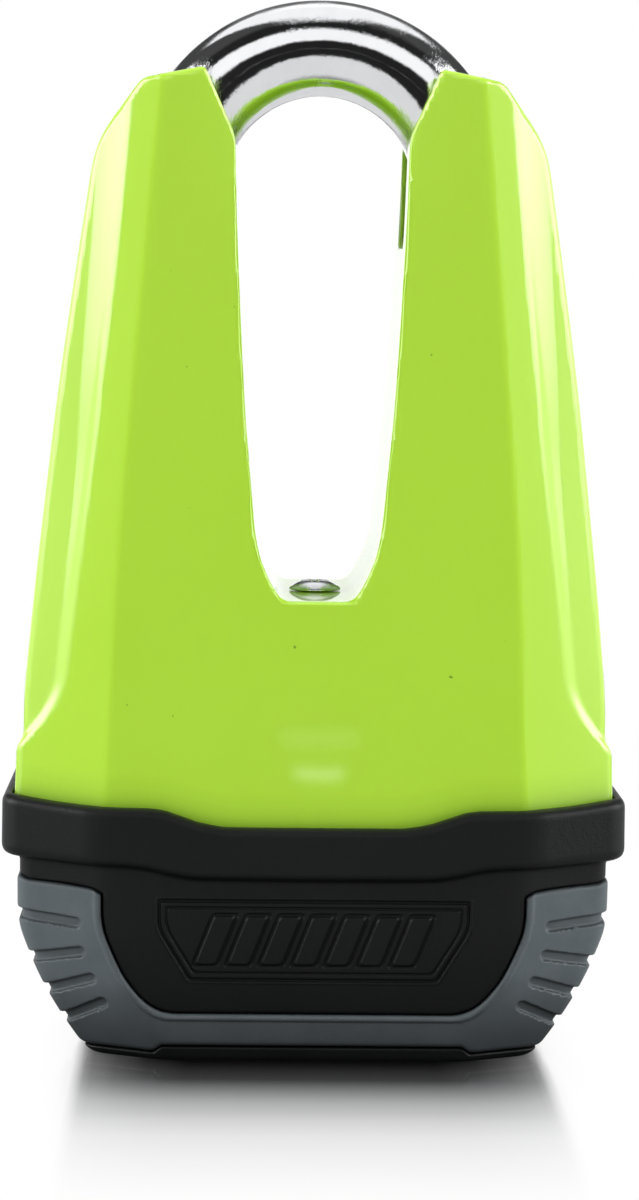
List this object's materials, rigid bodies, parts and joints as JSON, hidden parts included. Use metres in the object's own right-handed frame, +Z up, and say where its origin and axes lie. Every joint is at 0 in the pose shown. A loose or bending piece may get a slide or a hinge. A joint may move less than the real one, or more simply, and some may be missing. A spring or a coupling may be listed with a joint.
{
  "type": "disc brake lock",
  "caption": "Motorcycle disc brake lock: a removable U shackle held in a two-armed armour shell over a plastic base with a soft bumper and a covered keyhole below.",
  "frame": {"origin": "on the ground under the middle of the base plate", "axes": "+Z up along the shackle legs, the front faces -Y, +X to the right seen from the front"},
  "size_m": [0.0902, 0.0454, 0.1541],
  "materials": {
    "armour_paint": "glossy lime powder paint",
    "shackle_chrome": "mirror chrome plate",
    "hard_steel": "machined hardened steel",
    "zinc_plate": "bright zinc plate",
    "cylinder_brass": "machined brass",
    "black_plastic": "fine spark texture, satin",
    "grey_rubber": "soft-touch satin",
    "acetal": "natural acetal"
  },
  "bodies": {
    "lock_body": {"armour_shell": "armour_paint", "armour_screw": "zinc_plate", "leg_bush_left": "acetal", "leg_bush_right": "acetal", "lock_core": "hard_steel", "cylinder_housing": "cylinder_brass", "anti_drill_plate": "hard_steel", "cylinder_retaining_pin": "hard_steel", "base_housing": "black_plastic", "bumper": "grey_rubber", "base_plate": "black_plastic", "base_screw_front_left": "zinc_plate", "base_screw_front_right": "zinc_plate", "base_screw_rear_left": "zinc_plate", "base_screw_rear_right": "zinc_plate"},
    "shackle": {"shackle": "shackle_chrome"},
    "key_cylinder": {"cylinder_plug": "cylinder_brass", "sidebar": "zinc_plate", "detainer_disc_1": "cylinder_brass", "detainer_disc_2": "cylinder_brass", "detainer_disc_3": "cylinder_brass", "detainer_disc_4": "cylinder_brass", "detainer_disc_5": "cylinder_brass", "disc_spacer_1": "zinc_plate", "disc_spacer_2": "zinc_plate", "disc_spacer_3": "zinc_plate", "disc_spacer_4": "zinc_plate", "cylinder_tailpiece": "hard_steel", "cam_disc": "hard_steel"},
    "bolt_left": {"locking_bolt_left": "hard_steel"},
    "bolt_right": {"locking_bolt_right": "hard_steel"},
    "keyhole_cover": {"keyhole_cover": "black_plastic"}
  },
  "joints": [
    {"name": "shackle_lift", "type": "slide", "parent": "lock_body", "child": "shackle", "axis": [0, 0, 1], "range_m": [0, 0.114]},
    {"name": "plug_turn", "type": "hinge", "parent": "lock_body", "child": "key_cylinder", "pos_m": [0, 0, 0.02], "axis": [0, 0, 1], "range_deg": [0, 90]},
    {"name": "bolt_left_slide", "type": "slide", "parent": "lock_body", "child": "bolt_left", "axis": [-1, 0, 0], "range_m": [0, 0.0045]},
    {"name": "bolt_right_slide", "type": "slide", "parent": "lock_body", "child": "bolt_right", "axis": [1, 0, 0], "range_m": [0, 0.0045]},
    {"name": "cover_slide", "type": "slide", "parent": "lock_body", "child": "keyhole_cover", "axis": [1, 0, 0], "range_m": [0, 0.012]}
  ],
  "couplings": [
    {"joint": "bolt_left_slide", "follows": "plug_turn", "m_per_rad": 0.00286},
    {"joint": "bolt_right_slide", "follows": "plug_turn", "m_per_rad": 0.00286}
  ]
}
